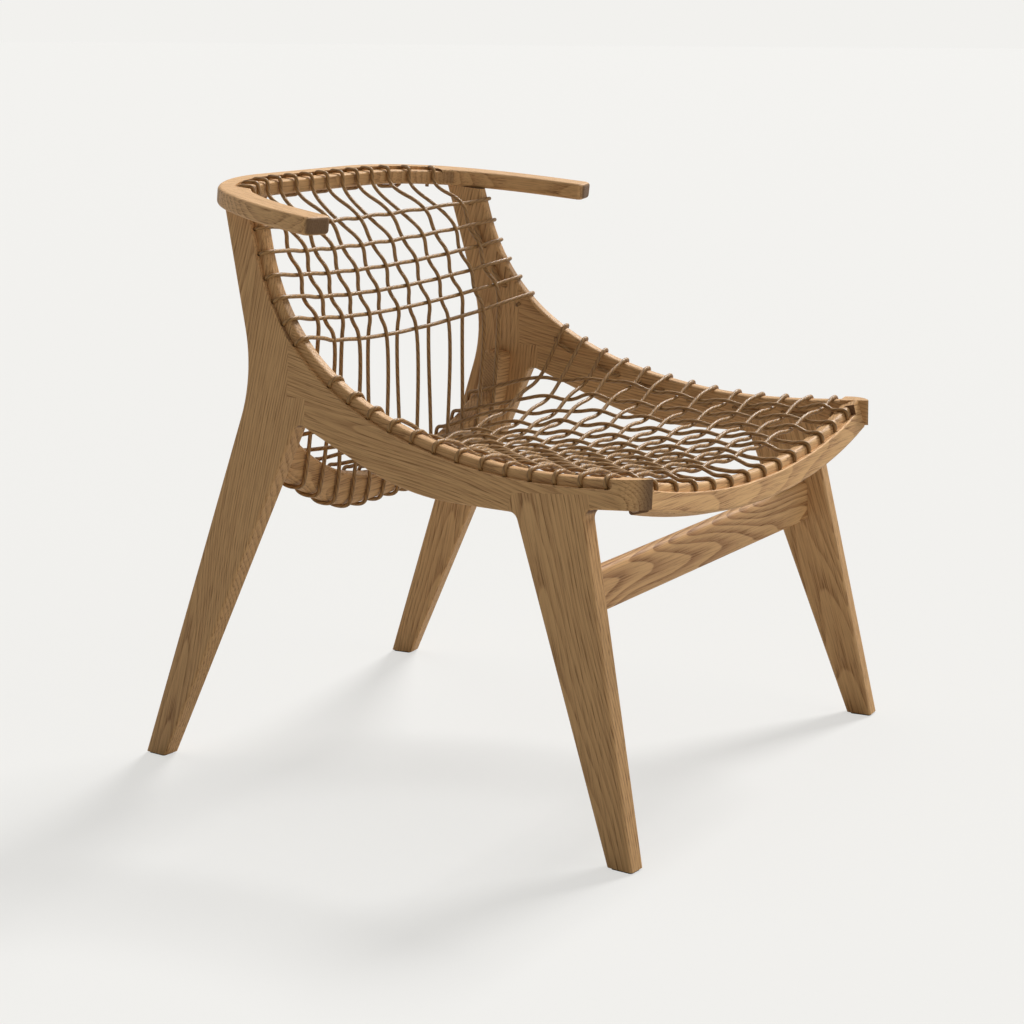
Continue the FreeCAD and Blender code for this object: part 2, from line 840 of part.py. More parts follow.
def saddle_pins(fit=0):
    """Two dowels from the top of the front leg up into the side rail, between the cord holes."""
    pins = []
    for gap in saddle_pin_shares:
        place, angle = ledge_point(row_start + gap * row_pitch(), 0)
        depth = (ledge_width + plank_thickness) / 2
        crown = place.y + bead_height - dowel_radius
        pins.append(on_side(pin(Vector(place.x, crown - dowel_length / 2, depth), Vector(0, 1, 0), fit=fit)))
    return pins


def crescent_pins(fit=0):
    """Two dowels through each end of the crescent into the leg."""
    pins = []
    for share in horn_pin_shares:
        height = horn_rise - share * crescent_depth
        place = crescent_place.multVec(Vector(-horn_reach, height, crescent_thickness / 2))
        flat = side.inverse().multVec(place)
        centre = Vector(flat.x, flat.y, plank_thickness + dowel_radius)
        pins.append(on_side(pin(centre, Vector(0, 0, 1), fit=fit)))
    return pins


def front_pins(fit=0):
    """Two short dowels from each nose into the end of the front rail."""
    pins = []
    length = dowel_length * short_dowel_share
    reach = half_stance - 2 * plank_thickness
    for level in (1.5 * dowel_radius - front_rail_depth, dowel_radius / 2):
        place = front_place.multVec(front_point(-reach, front_rail_thickness / 2 + dowel_radius / 2, level))
        flat = side.inverse().multVec(place)
        centre = Vector(flat.x, flat.y, plank_thickness + 1.5 * dowel_radius)
        pins.append(on_side(pin(centre, Vector(0, 0, 1), length, fit)))
    return pins


def post_pin(fit=0):
    """Short dowel from the top of each post into its arm."""
    top, angle = ledge_point(row_place(seat_rows + back_rows - 1), 0)
    middle = top + heading(angle - 90) * (post_width / 2)
    flat = crest_place.inverse().multVec(side.multVec(Vector(middle.x, middle.y, plank_thickness / 2)))
    length = dowel_length * short_dowel_share
    bar = pin(Vector(flat.x, flat.y, -crest_thickness), Vector(0, 0, 1), length, fit)
    return bar.transformed(crest_place, True)


def scarf_pins(fit=0):
    """Two short dowels across each scarf joint between crest and arm."""
    line, away, start = heading(scarf_angle), heading(scarf_angle - 90), scarf_start()
    pins = []
    for inset in (crest_width / 2 - 2 * dowel_radius, crest_width / 2 + dowel_radius / 2):
        centre = start - line * inset - Vector(0, 0, crest_thickness / 2)
        bar = pin(centre, away, dowel_length * short_dowel_share, fit)
        pins.append(mirrored(bar.transformed(crest_place, True)))
    return pins


def cut_all(shape, tools):
    for tool in tools:
        shape = shape.cut(tool)
    return shape


def both(shapes):
    """The near shapes and their mirror images."""
    return list(shapes) + [mirrored(shape) for shape in shapes]


tight, spread = [], []


def free_bend(before, corner, after):
    """Largest bend that two runs of a cord allow."""
    back, ahead = corner - before, after - corner
    turn = back.getAngle(ahead)
    return bend_share * min(back.Length, ahead.Length) / math.tan(turn / 2) if turn > hair else 0


def drawn(route):
    """Corners of a cord whose free bends, those of radius None, pass through the points of its route."""
    corners = [point for point, radius in route]
    for sweep in range(long_cords):
        for index, (point, radius) in enumerate(route):
            if radius is None:
                three = corners[index - 1], corners[index], corners[index + 1]
                bend = free_bend(*three)
                middle = corner_arc(*three, bend)[1] if bend else corners[index]
                corners[index] = corners[index] + point - middle
    made = []
    for index, (point, radius) in enumerate(route):
        if radius is None:
            radius = free_bend(corners[index - 1], corners[index], corners[index + 1])
        made.append((corners[index], radius))
    return made


def cord(route):
    """Round cord along straight runs and tangent arcs."""
    corners = drawn(route)
    path = Part.Wire(rounded_edges(corners, closed=False))
    start = path.Edges[0]
    ring = Part.makeCircle(cord_radius, corners[0][0], start.tangentAt(start.FirstParameter))
    tube = path.makePipeShell([Part.Wire(ring)], True, False)
    tight.append(min(radius for point, radius in corners if radius > 0))
    spread.append(tube.Volume / (math.pi * cord_radius ** 2 * path.Length))
    return tube


def over_edge(centre, radius, target):
    """Angle below level at which a cord leaves a rounded edge for a point beyond it."""
    gap, drop = target.x - centre.x, centre.y - target.y
    return math.atan2(drop, gap) + math.asin(radius / math.hypot(gap, drop))


def wrap(target, foot, width, height, hole):
    """Corners of a cord that leaves its hole, climbs the outside of a bead and crosses it.

    Each corner is (depth, height, radius); the target is the next point as (depth, height).
    """
    lift = cord_radius + cord_gap
    bend = bead_round + lift
    centre = Vector(width - bead_round, height - bead_round, 0)
    fall = over_edge(centre, bend, target)
    wall = foot - lift
    low = hole(wall)
    turn = math.atan2(width - foot, hole_fall)
    room = height + lift - bend - low
    return [(wall, low, hole_bend_share * room / math.tan(turn / 2)), (wall, height + lift, bend),
            (centre.x + bend * math.tan(fall / 2), height + lift, bend)]


def row_edge(row):
    """Point on the far side where a cross cord leaves its bead."""
    place = side.multVec(row_point(row, plank_thickness - bead_round, bead_height + cord_radius + cord_gap))
    return Vector(-place.x, place.y, place.z)


def row_sag(row):
    """How far the middle of a cross cord lies from the line between its two beads."""
    edge = row_edge(row)
    if row < seat_rows:
        first, last = row_edge(0), row_edge(seat_rows - 1)
        share = (edge.y - first.y) / (last.y - first.y)
        drop = edge.z - web_front_height - (web_rear_height - web_front_height) * share
        drift = corner_drift_share if row == seat_rows - 1 else web_drift_share
        return Vector(0, drift * drop, -drop)
    index = row - seat_rows
    return Vector(0, back_pull * back_pull_shares[index], -back_sink * back_sink_shares[index])


def column_reach(row, column):
    """Distance from the middle at which a long cord crosses a row."""
    edge = row_edge(row)
    if row < seat_rows:
        first = row_edge(0).y
        share = (edge.y - first) / (crescent_setback - first)
        return column * (front_pitch + (rear_pitch - front_pitch) * share)
    share = (edge.z - crescent_height) / (arm_tip_height - crescent_height)
    return column * (rear_pitch + (crest_pitch - rear_pitch) * share)


def sag_left(row, reach):
    """Share of a row's sag at a distance from the middle, and how fast it changes there.

    The rows nearest the rear corners of the seat fall steeply to the outermost long cord.
    """
    corner = row - seat_rows + len(corner_knee_shares)
    if corner < 0 or row >= seat_rows:
        wide = row_edge(row).x
        return 1 - (reach / wide) ** 2, -2 * reach / wide ** 2
    wide = column_reach(row, (long_cords - 1) / 2)
    knee, part = corner_knee_shares[corner], abs(reach) / wide
    rate = -corner_power * knee * part ** (corner_power - 1) / wide
    return 1 - knee * part ** corner_power, math.copysign(rate, -reach)


def web_point(row, column):
    """Point of the web where a long cord crosses a row, and the direction of the row there."""
    edge, sag = row_edge(row), row_sag(row)
    reach = column_reach(row, column)
    left, rate = sag_left(row, reach)
    return Vector(reach, edge.y, edge.z) + sag * left, Vector(1, 0, 0) + sag * rate


def upright_direction(row, column):
    """Direction of a long cord where it crosses a row of the back."""
    lift, last = cord_radius + cord_gap, seat_rows + back_rows - 1
    reach = column * rear_pitch
    foot = crescent_place.multVec(Vector(reach, over_crescent(reach), -lift))
    below = foot if row == seat_rows else web_point(row - 1, column)[0]
    head = crest_hole_point(column, crest_width + lift, -crest_thickness)
    above = head if row == last else web_point(row + 1, column)[0]
    return above - below


def crossing(row, column, share):
    """Centre of a cord at one crossing, moved off the web by a share of the room of the two cords."""
    place, slope = web_point(row, column)
    along = Vector(0, 1, 0) if row < seat_rows else upright_direction(row, column)
    over = 1 if (row + int(column + long_cords)) % 2 == 0 else -1
    return place + slope.cross(along).normalize() * ((2 * cord_radius + cord_gap) * share * over)


def lift_share(row):
    """Share of each crossing's room that the cross cord takes; the long cord takes the rest."""
    return seat_lift_share if row < seat_rows else back_lift_share


def side_point(row, depth):
    """Point on the axis of one of the near cord holes."""
    return side.multVec(row_point(row, depth, hole_height(depth)))


def cross_run(row):
    """Route of one cross cord from its loop on the near side to its loop on the far side."""
    web = [crossing(row, column, lift_share(row)) for column in columns()]
    place, angle = ledge_point(row_place(row), 0)
    flat = side.inverse().multVec(web[0])
    height = (flat - place).dot(heading(angle + 90))
    near = [(side_point(row, plank_thickness + cord_radius + loop_gap), loop_round)]
    target = Vector(flat.z, height, 0)
    for depth, level, radius in wrap(target, ledge_width, plank_thickness, bead_height, hole_height):
        near.append((side.multVec(row_point(row, depth, level)), radius))
    return near + [(point, None) for point in web] + across(near)[::-1]


def cross_cord(rows):
    """One cord laced from side to side through a list of rows, starting on the far side."""
    route = []
    for step, row in enumerate(rows):
        route += cross_run(row) if step % 2 else cross_run(row)[::-1]
    inside = plank_thickness - cord_radius
    ends = [(side_point(row, inside), 0) for row in (rows[0], rows[-1])]
    route[0] = across(ends)[0]
    route[-1] = ends[1] if len(rows) % 2 else across(ends)[1]
    return cord(route)


def crescent_turn(reach, target):
    """Corners of one turn round the crescent, for a cord that comes down to its rear edge from a target.

    Each corner is (place across, depth, level, radius); the target is given as (depth, level).
    """
    lift, shift = cord_radius + cord_gap, cord_radius + wrap_gap / 2
    bend, far = crescent_round + lift, crescent_thickness + lift
    rear, front = reach - shift, reach + shift
    centre = Vector(far - bend, over_crescent(rear) - bend, 0)
    fall = over_edge(centre, bend, Vector(2 * centre.x - target.x, target.y, 0))
    crown = centre.y + bend * math.tan(math.pi / 4 + fall / 2)
    return [(rear, far, crown, bend), (rear, far, under_crescent(rear), bend),
            (reach, -lift, under_crescent(reach), crescent_belly_round + lift),
            (front, -lift, over_crescent(front), bend)]


def long_run(column):
    """Route of one long cord from its loop behind the front rail to its loop under the crest."""
    seat = [crossing(row, column, lift_share(row) - 1) for row in range(seat_rows)]
    back = [crossing(row, column, back_lift_share - 1) for row in range(seat_rows, seat_rows + back_rows)]
    reach = column * front_pitch
    flat = front_place.inverse().multVec(seat[0])
    target = Vector(flat.z, flat.y - front_rise_at(reach), 0)
    route = [(front_hole_point(column, front_rail_thickness + cord_radius + loop_gap), loop_round)]
    for depth, level, radius in wrap(target, front_ledge_width, front_rail_thickness, front_bead_height,
                                     front_hole_height):
        route.append((front_place.multVec(front_point(reach, depth, level)), radius))
    route += [(point, None) for point in seat]
    flat = crescent_place.inverse().multVec(seat[-1])
    for place, depth, level, radius in crescent_turn(column * rear_pitch, Vector(flat.z, flat.y, 0)):
        route.append((crescent_place.multVec(Vector(place, level, depth)), radius))
    route += [(point, None) for point in back]
    lift, groove = cord_radius + cord_gap, crest_groove_inset()
    bend, top, under = crest_bead_round + lift, lift - crest_bead_drop, -crest_thickness
    turn = [(crest_width + lift, under, bend), (crest_width + lift, top, bend), (groove, top, bend),
            (groove, under - cord_radius - loop_gap, loop_round)]
    for inset, level, radius in turn:
        route.append((crest_hole_point(column, inset, level), radius))
    return route


def front_hole_point(column, depth):
    return front_place.multVec(front_point(column * front_pitch, depth, front_hole_height(depth)))


def crest_hole_point(column, inset, level):
    return crest_place.multVec(crest_point(column * crest_pitch, inset) + Vector(0, 0, level))


def long_cord():
    """One cord laced between front rail and crest, starting at the front rail on the near side."""
    route = []
    for step, column in enumerate(columns()):
        route += long_run(column)[::-1] if step % 2 else long_run(column)
    first, last = columns()[0], columns()[-1]
    route[0] = (front_hole_point(first, front_rail_thickness - cord_radius), 0)
    if long_cords % 2:
        route[-1] = (crest_hole_point(last, crest_groove_inset(), cord_radius - crest_thickness), 0)
    else:
        route[-1] = (front_hole_point(last, front_rail_thickness - cord_radius), 0)
    return cord(route)


def glide(reach, width):
    """Thin glide under one near foot of a width, centred at a distance along the plank."""
    centre = side.multVec(Vector(reach, 0, plank_thickness / 2))
    half = Vector(width / 2 - glide_inset, plank_thickness / 2 - glide_inset, 0)
    pad = box(-half, half + Vector(0, 0, glide_thickness))
    pad = round_edges(pad, glide_round, lambda edge: edge.BoundBox.ZLength > hair)
    pad.rotate(Vector(0, 0, 0), Vector(0, 0, 1), 90 - toe_in_angle)
    return pad.translated(Vector(centre.x, centre.y, 0))


def near_side_parts():
    """Post, front leg and side rail of the near side frame, cut for every hole and joint."""
    frame = cut_all(side_frame(), side_holes())
    post, leg = post_region(), fore_leg_region()
    split = {"rear_post": frame.common(post), "front_leg": frame.common(leg)}
    split["side_rail"] = frame.cut(post).cut(leg)
    waste = [floor_waste(), above_crest().transformed(crest_place, True), mortises()]
    waste += lap_pins(dowel_fit) + saddle_pins(dowel_fit) + crescent_pins(dowel_fit) + front_pins(dowel_fit)
    waste.append(post_pin(dowel_fit))
    return {name: cut_all(on_side(shape), waste) for name, shape in split.items()}


def mortises():
    return between_sides(tenon(dowel_fit), plank_thickness - tenon_length - dowel_fit)


def crest_parts():
    """Crest and the two arms, split at the scarf joints: middle, near arm, far arm."""
    body, far = crest_body(), scarf_region()
    near = mirrored(far)
    waste = both([post_pin(dowel_fit)] + scarf_pins(dowel_fit))
    split = body.cut(far).cut(near), body.common(near), body.common(far)
    return [cut_all(shape.transformed(crest_place, True), waste) for shape in split]


def front_rail_piece():
    body = front_rail().fuse(front_ends()).removeSplitter()
    body = cut_all(body, front_holes()).transformed(front_place, True)
    return cut_all(between_sides(body), both(front_pins(dowel_fit)))


def rear_rail_piece():
    body = crescent_rail().transformed(crescent_place, True)
    return cut_all(between_sides(body), both(crescent_pins(dowel_fit)))


def stretcher_piece():
    ends = between_sides(tenon(0), plank_thickness - tenon_length)
    return between_sides(stretcher()).fuse(ends).removeSplitter()


def chair():
    """Every sub-part by name, as a list of solids; right and left are the sitter's."""
    made = {}
    for name, shape in near_side_parts().items():
        made[name + "_right"], made[name + "_left"] = [shape], [mirrored(shape)]
    rear, fore = heel_reach - rear_foot_width / 2, fore_foot_width / 2 - fore_leg_front_reach
    for name, reach, width in (("rear", rear, rear_foot_width), ("front", fore, fore_foot_width)):
        pad = glide(reach, width)
        made["foot_glide_" + name + "_right"], made["foot_glide_" + name + "_left"] = [pad], [mirrored(pad)]
    crest, near_arm, far_arm = crest_parts()
    made.update(crest_rail=[crest], arm_right=[near_arm], arm_left=[far_arm])
    made.update(front_rail=[front_rail_piece()], rear_seat_rail=[rear_rail_piece()],
                front_stretcher=[stretcher_piece()])
    made.update(side_rail_dowels=both(lap_pins()), front_leg_dowels=both(saddle_pins()),
                rear_seat_rail_dowels=both(crescent_pins()), front_rail_dowels=both(front_pins()),
                arm_dowels=both([post_pin()]), crest_dowels=both(scarf_pins()))
    made["seat_cross_cord"] = [cross_cord(list(range(seat_rows))[::-1])]
    made["back_cross_cord"] = [cross_cord(list(range(seat_rows, seat_rows + back_rows)))]
    made["long_cord"] = [long_cord()]
    return made


def write(made):
    """Move the chair so that the origin lies under its middle and write one file per sub-part."""
    boxes = [shape.optimalBoundingBox() for shapes in made.values() for shape in shapes]
    middle = (min(limit.YMin for limit in boxes) + max(limit.YMax for limit in boxes)) / 2
    print("moved forward by", round(middle, 3))
    for name, shapes in made.items():
        solids = [solid.translated(Vector(0, -middle, 0)) for shape in shapes for solid in shape.Solids]
        shape = solids[0] if len(solids) == 1 else Part.makeCompound(solids)
        print(name, len(solids), shape.isValid(), round(shape.Volume))
        shape.exportStep("parts/" + name + ".step")
    print("tightest cord bends", [round(value, 2) for value in tight])
    print("cord volume against section times length", [round(value, 5) for value in spread])


write(chair())
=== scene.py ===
import math

import bpy
import numpy as np
from mathutils import Euler, Matrix, Vector


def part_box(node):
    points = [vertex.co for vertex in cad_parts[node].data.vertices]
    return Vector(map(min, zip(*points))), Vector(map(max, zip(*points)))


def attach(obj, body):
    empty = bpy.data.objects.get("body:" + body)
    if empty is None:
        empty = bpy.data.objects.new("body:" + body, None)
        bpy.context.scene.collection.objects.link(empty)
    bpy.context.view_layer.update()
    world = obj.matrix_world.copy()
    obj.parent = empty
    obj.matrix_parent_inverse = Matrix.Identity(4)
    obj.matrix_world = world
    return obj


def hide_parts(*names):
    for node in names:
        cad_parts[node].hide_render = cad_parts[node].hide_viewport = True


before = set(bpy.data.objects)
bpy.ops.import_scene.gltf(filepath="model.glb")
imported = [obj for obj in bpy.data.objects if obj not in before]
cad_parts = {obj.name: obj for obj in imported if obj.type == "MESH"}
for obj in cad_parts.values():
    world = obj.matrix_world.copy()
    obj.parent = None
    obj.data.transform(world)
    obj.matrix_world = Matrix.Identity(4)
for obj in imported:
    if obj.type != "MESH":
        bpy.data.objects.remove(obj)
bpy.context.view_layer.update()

# Side frames: posts, front legs and side rails, sawn from planks of oiled oak.
# Each plank's grain runs straight along its own piece, so the curves cut across it,
# and the joints show only where one plank's figure stops and the next begins.


class Field:
    """A number, colour or vector of a shader; operators add the Math nodes that work it out."""

    def __init__(self, finish, socket):
        self.finish, self.socket = finish, socket

    def math(self, operation, *others, flip=False):
        """Math node of this number and others; flip turns their order round."""
        values = [self, *others]
        return self.finish.node("ShaderNodeMath", {"operation": operation}, values[::-1] if flip else values)

    def __add__(self, other):
        return self.math("ADD", other)

    def __sub__(self, other):
        return self.math("SUBTRACT", other)

    def __rsub__(self, other):
        return self.math("SUBTRACT", other, flip=True)

    def __mul__(self, other):
        return self.math("MULTIPLY", other)

    def __truediv__(self, other):
        return self.math("DIVIDE", other)

    def __pow__(self, other):
        return self.math("POWER", other)

    __radd__, __rmul__ = __add__, __mul__

    def step(self, low, high):
        """Rises smoothly from 0 at low to 1 at high."""
        return self.finish.node("ShaderNodeMapRange", {"interpolation_type": "SMOOTHSTEP"}, [self, low, high])


class Finish:
    """A material under construction, with a Principled shader at its end."""

    def __init__(self, name):
        self.material = bpy.data.materials.new(name)
        self.material.use_nodes = True
        self.tree = self.material.node_tree
        self.shader = self.tree.nodes["Principled BSDF"]
        self.place = self.node("ShaderNodeTexCoord", output="Object")

    def node(self, kind, settings=None, values=(), output=0):
        """Adds a node: its settings first, then the values or links of its sockets."""
        made = self.tree.nodes.new(kind)
        for key, value in (settings or {}).items():
            setattr(made, key, value)
        for key, value in (values.items() if isinstance(values, dict) else enumerate(values)):
            if isinstance(value, Field):
                self.tree.links.new(value.socket, made.inputs[key])
            elif value is not None:
                made.inputs[key].default_value = value
        return Field(self, made.outputs[output])

    def along(self, vector, direction):
        """Length of a vector along a fixed direction."""
        return self.node("ShaderNodeVectorMath", {"operation": "DOT_PRODUCT"},
                         [vector, tuple(direction)], "Value")

    def vector(self, x, y, z):
        """Vector put together from three numbers or fields."""
        return self.node("ShaderNodeCombineXYZ", None, [x, y, z])

    def noise(self, vector, scale=1.0, detail=2.0, rough=0.5):
        """Smooth noise round 0.5 at a place."""
        return self.node("ShaderNodeTexNoise", None, {"Vector": vector, "Scale": scale, "Detail": detail,
                                                      "Roughness": rough})

    def mix(self, share, first, second):
        """Colour between two colours."""
        pair = [value if isinstance(value, Field) else (*value, 1) for value in (first, second)]
        return self.node("ShaderNodeMix", {"data_type": "RGBA"}, {0: share, 6: pair[0], 7: pair[1]}, 2)

    def surface(self, **values):
        """Links or sets sockets of the shader, with an underscore for each space in their names."""
        for key, value in values.items():
            socket = self.shader.inputs[key.replace("_", " ")]
            if isinstance(value, Field):
                self.tree.links.new(value.socket, socket)
            else:
                socket.default_value = value

    def bump(self, height, distance, strength):
        """Lets a height of 0 to 1 tilt the surface as if it stood out by a distance."""
        self.surface(Normal=self.node("ShaderNodeBump", None, {"Height": height, "Distance": distance,
                                                               "Strength": strength}))


# Oiled oak: its light late wood, darker early wood, pores and end grain.
late_wood = (0.655, 0.390, 0.170)
early_wood = (0.355, 0.173, 0.061)
pore_shade = (0.150, 0.065, 0.022)
end_shade = (0.078, 0.038, 0.018)


def oak(name, grain, face, pith, seed, ring=0.0032, taper=0.035, figure=0.55, ends=0.8):
    """Oak with its grain along a direction and its pith at a place across the grain.

    Growth rings are cylinders round the pith, a ring apart in metres, that taper along the grain
    and so show as arches on a flat-sawn face; fine dark pores are dashes drawn out along the
    grain. Figure is how strongly the rings show, ends how dark the end grain is, and the seed
    moves the noise to another place.
    """
    grain = Vector(grain).normalized()
    face = (Vector(face) - grain * grain.dot(Vector(face))).normalized()
    side = grain.cross(face)
    wood = Finish(name)
    offset = Vector((seed, seed * 0.37, seed * 0.71))
    shifted = wood.node("ShaderNodeVectorMath", {"operation": "ADD"}, [wood.place, tuple(offset)])
    u, v, w = (wood.along(shifted, axis) for axis in (grain, side, face))

    # The rings: their pith wanders by up to 35 mm, and a ripple makes their edges uneven.
    drift = wood.noise(wood.vector(u * 2.6, seed, v * 3.0), detail=1.0) - 0.5
    ripple = wood.noise(wood.vector(u * 9.0, v * 36.0, w * 36.0), detail=2.0) - 0.5
    across = v - (pith[0] + offset.dot(side)) + drift * 0.07
    deep = w - (pith[1] + offset.dot(face))
    radius = (across * across + deep * deep) ** 0.5 + u * taper + ripple * 0.003
    phase = (radius / ring).math("FRACT")
    band = (1 - phase) ** 1.7 * phase.step(0.0, 0.10)

    # Three grades of noise drawn out along the grain: broad tints, fine pores and soft streaks.
    spread = wood.noise(wood.vector(u * 1.7, v * 14.0, w * 14.0), detail=2.0)
    fine = wood.noise(wood.vector(u * 26.0, v * 850.0, w * 850.0), detail=2.0, rough=0.6)
    soft = wood.noise(wood.vector(u * 7.0, v * 480.0, w * 480.0), detail=2.0, rough=0.7)
    pores = fine.step(0.50, 0.64) * (0.35 + band * 0.9)

    # Sawn ends, where the surface faces along the grain, drink more oil and are darker.
    facing = wood.along(wood.node("ShaderNodeTexCoord", output="Normal"), grain).math("ABSOLUTE")
    end = facing.step(0.50, 0.90)
    shade = band * figure + (soft - 0.5) * 1.15 + (spread - 0.5) * 0.4
    colour = wood.mix(shade.step(-0.25, 0.95), late_wood, early_wood)
    colour = wood.mix(pores * 0.60, colour, pore_shade)
    colour = wood.mix(end * ends, colour, end_shade)
    wood.surface(Base_Color=colour, Roughness=0.55 + pores * 0.2 - band * 0.06, Specular_IOR_Level=0.28)
    wood.bump(fine * 0.5 - pores + band * 0.4, 0.00025, 0.5)
    return wood.material


def finish_node(node, material):
    """Gives a solid of the frame its material."""
    made = bpy.data.objects[node]
    made.data.materials.clear()
    made.data.materials.append(material)


def middle(node):
    """Middle of a solid's box."""
    low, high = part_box(node)
    return (low + high) / 2


def sawn(node, grain, face, pith, seed, **looks):
    """Gives a solid oak of its own, its pith at a distance across and out from its middle."""
    unit, centre = grain.normalized(), middle(node)
    flat = (face - unit * unit.dot(face)).normalized()
    place = (centre.dot(unit.cross(flat)) + pith[0], centre.dot(flat) + pith[1])
    finish_node(node, oak(f"oak_{node}", grain, face, place, seed, **looks))


# The near plank's own directions: rearward along it, up it and inward through it.
plank_along = Vector((0.0817, 0.9967, 0.0))
plank_up = Vector((0.0615, -0.0050, 0.9981))
plank_in = Vector((0.9948, -0.0816, -0.0617))


def flipped(direction):
    """Direction on the far side, the mirror image of the near one."""
    return Vector((-direction[0], direction[1], direction[2]))


for side_name, turn, other_tree in (("right", Vector, 0), ("left", flipped, 20)):
    for piece, run, rise, pith, seed in (("rear_post", -135, 617, (0.02, -0.034), 1.3),
                                         ("front_leg", 103, 365, (0.01, -0.050), 4.1),
                                         ("side_rail", 446, 70, (0.03, -0.030), 7.9)):
        sawn(f"{piece}_{side_name}", turn(plank_along * run + plank_up * rise), turn(plank_in), pith,
             seed + other_tree)


# Crest and arms: a bent band of the same oak in three lengths, scarfed together,
# flat on top, with a groove and a low bead inside for the cords.
for node, grain, seed in (("crest_rail", (1, 0, 0), 11.2), ("arm_right", (-0.34, -0.94, -0.1), 13.7),
                          ("arm_left", (0.34, -0.94, -0.1), 15.1)):
    centre = middle(node)
    finish_node(node, oak(f"oak_{node}", grain, (0, 0, 1), (centre.y + 0.02, centre.z - 0.05), seed))


# Front rail, rear seat rail and stretcher: the cross pieces between the side frames.
# The front rail sags, the rear rail is a crescent, the stretcher shows broad arches.
arches = {"ring": 0.0040, "taper": 0.05, "figure": 1.0}
for node, face, pith, seed, looks in (("front_rail", (0, -1, 0.27), (0.01, -0.04), 17.3, {}),
                                      ("rear_seat_rail", (0, -1, 0), (0.02, -0.06), 19.8, {"ends": 0.2}),
                                      ("front_stretcher", (0, -1, 0), (0.004, -0.022), 23.1, arches)):
    sawn(node, Vector((1, 0, 0)), Vector(face), pith, seed, **looks)


# Dowels and glides: plain beech pins glued into the joints, where nothing shows of them,
# and thin dark pads under the feet.
beech_pale, beech_brown = (0.50, 0.34, 0.20), (0.42, 0.27, 0.15)
pad_dark, pad_grey = (0.035, 0.030, 0.026), (0.060, 0.052, 0.045)
beech = Finish("beech_dowel")
beech_grain = beech.noise(beech.place, 900.0, 2.0)
beech.surface(Base_Color=beech.mix(beech_grain, beech_pale, beech_brown), Roughness=0.6)
pad = Finish("dark_pad")
pad_fleck = pad.noise(pad.place, 1500.0, 3.0)
pad.surface(Base_Color=pad.mix(pad_fleck, pad_dark, pad_grey), Roughness=0.85)
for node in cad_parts:
    if node.endswith("dowels"):
        finish_node(node, beech.material)
    elif node.startswith("foot_glide"):
        finish_node(node, pad.material)


# Cords: one tan cord laced from side to side over the seat, one over the back, and one that
# runs from the front rail round the crescent to the crest; they pass over and under each other.
# The routes follow the rails, worked out in millimetres and drawn in metres.
cord_radius, cord_sides = 2.35, 12
lift, cord_gap, loop_reach = 2.5, 0.3, 4.0
seat_rows, back_rows, column_half = 13, 6, 6
columns = range(-column_half, column_half + 1)
front_pitch, rear_pitch, crest_pitch = 40.5, 33.0, 31.0

# The side planks: where they stand, how they lean, their ledge with its bends (radius, turn),
# their bead, and the rows of holes along them.
half_stance, stance_setback, shift_forward = 320.0, 335.0, 14.89
toe_in_angle, lean_in_angle = 4.69, 3.55
nose_reach, dip_reach, dip_height = 342.0, 217.0, 381.0
side_bends = ((1100.0, 3.5), (627.0, 17.8), (377.0, 16.2), (236.0, 41.9))
plank_thickness, bead_foot, bead_height, bead_round = 22.0, 6.0, 10.5, 5.0
hole_rise, hole_fall = 1.0, 7.0
row_start, row_pitch, crest_distance = 45.0, 31.0005, 636.8945
knee_gap_share, back_rows_share = 0.291, 0.6276

# The front rail with its ledge and bead, the crescent with its hollow and its underside,
# and the crest, bent at both ends.
front_setback, front_height, front_lean_angle, front_radius = -343.5, 352.0, 15.0, 1130.0
front_thickness, front_ledge_width, front_bead_height = 24.0, 6.5, 11.0
crescent_setback, crescent_height, crescent_lean_angle = 143.0, 307.5, 9.0
crescent_depth, crescent_thickness, wrap_gap, wrap_half = 30.5, 28.0, 0.8, 2.6
hollow_half, hollow_angle = 197.0, 34.7
under_half, under_radius, under_angle = 105.0, 190.0, 26.0
arm_tip_setback, arm_tip_height, crest_slope_angle = 45.9966, 636.0, 6.3
crest_reach, crest_bend_half, crest_radius, crest_width = 231.0, 85.0, 215.0, 37.0

# The web: its height at the front and rear row, how far it drifts rearward as it sags, the
# corners' flatter curve, and how far the back's rows are pulled back and down.
web_front_height, web_rear_height = 366.0, 351.0
web_drift_share, corner_drift_share = 0.17, 0.27
corner_knee_shares, corner_power = (0.582, 0.507, 0.434), 2.7
back_pull, back_pull_shares = 48.0, (0.82, 0.57, 0.44, 0.40, 0.48, 0.85)
back_sink, back_sink_shares = 24.0, (1.0, 0.71, 0.62, 0.52, 0.44, 0.35)
seat_cross_share, back_cross_share = 0.5, 0.35


def heading(degrees):
    """Unit vector of a flat drawing, turned by an angle from its first axis."""
    return Vector((math.cos(math.radians(degrees)), math.sin(math.radians(degrees)), 0))


def drawing(first, second, third, start):
    """Matrix from a flat drawing to the chair: its three axes and its origin."""
    return Matrix((*zip(first, second, third, start), (0, 0, 0, 1)))


def leaning(degrees, back, height, sign=1):
    """Drawing of a cross rail: X across, Y up its face, Z rearward through it.

    Its face leans rearward by the degrees, or forward with a sign of -1.
    """
    up, away = math.cos(math.radians(degrees)), math.sin(math.radians(degrees))
    return drawing((1, 0, 0), (0, sign * away, up), (0, up, -sign * away), (0, back, height))


